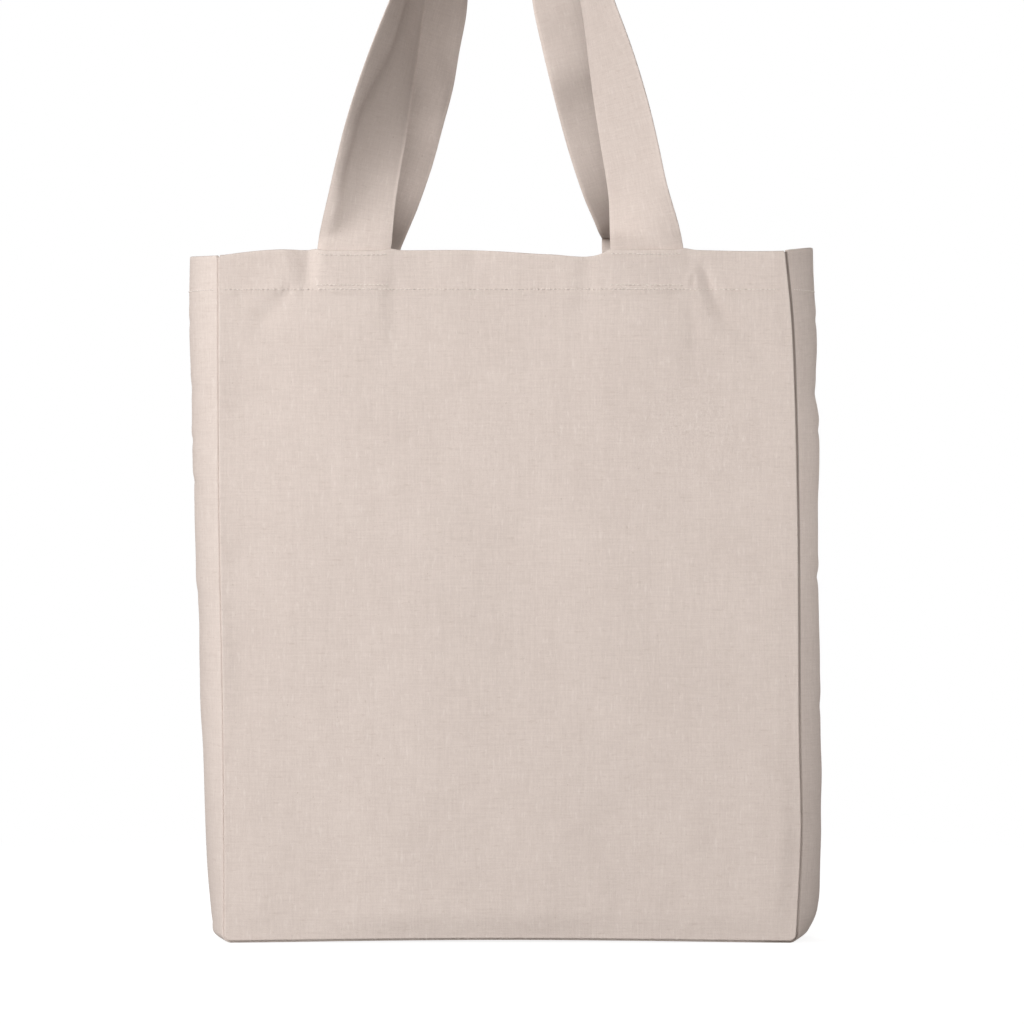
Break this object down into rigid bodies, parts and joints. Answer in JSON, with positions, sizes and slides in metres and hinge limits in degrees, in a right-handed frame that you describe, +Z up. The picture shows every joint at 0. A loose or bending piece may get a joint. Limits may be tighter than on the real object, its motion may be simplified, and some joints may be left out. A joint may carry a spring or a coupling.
{
  "type": "canvas tote bag",
  "caption": "Open-topped canvas tote bag with a bowed side gusset, a turned-in stitched hem and two upright strap handles",
  "frame": {"origin": "On the floor, under the middle of the standing bag with both handles upright", "axes": "+Z up, +X to the right as seen from the front, and the front panel faces -Y"},
  "size_m": [0.3626, 0.1496, 0.6572],
  "materials": {
    "canvas": "undyed plain-weave cotton canvas, matt, with fine slubs and flecks",
    "gusset_canvas": "the same undyed canvas, matt, with soft creases",
    "strap": "undyed canvas folded into a flat strap, matt",
    "thread": "undyed cotton sewing thread, matt"
  },
  "bodies": {
    "bag": {"front_panel": "canvas", "gusset_strip": "gusset_canvas", "front_hem": "canvas", "left_gusset_hem": "gusset_canvas", "right_gusset_hem": "gusset_canvas", "front_left_strap_end": "strap", "front_right_strap_end": "strap", "front_hem_thread": "thread", "left_gusset_hem_thread": "thread", "right_gusset_hem_thread": "thread", "front_seam_thread": "thread", "front_left_strap_stitches": "thread", "front_right_strap_stitches": "thread"},
    "rear": {"rear_panel": "canvas", "rear_hem": "canvas", "rear_left_strap_end": "strap", "rear_right_strap_end": "strap", "rear_hem_thread": "thread", "rear_seam_thread": "thread", "rear_left_strap_stitches": "thread", "rear_right_strap_stitches": "thread"},
    "front_loop": {"front_handle": "strap"},
    "rear_loop": {"rear_handle": "strap"}
  },
  "joints": [
    {"name": "collapse", "type": "slide", "parent": "bag", "child": "rear", "axis": [0, -1, 0], "range_m": [0, 0.046], "deforming": ["gusset_strip", "left_gusset_hem", "right_gusset_hem", "left_gusset_hem_thread", "right_gusset_hem_thread"]},
    {"name": "front_handle_fold", "type": "hinge", "parent": "bag", "child": "front_loop", "pos_m": [0, -0.033, 0.408], "axis": [1, 0, 0], "range_deg": [0, 110]},
    {"name": "rear_handle_fold", "type": "hinge", "parent": "rear", "child": "rear_loop", "pos_m": [0, 0.033, 0.408], "axis": [-1, 0, 0], "range_deg": [0, 110]}
  ]
}
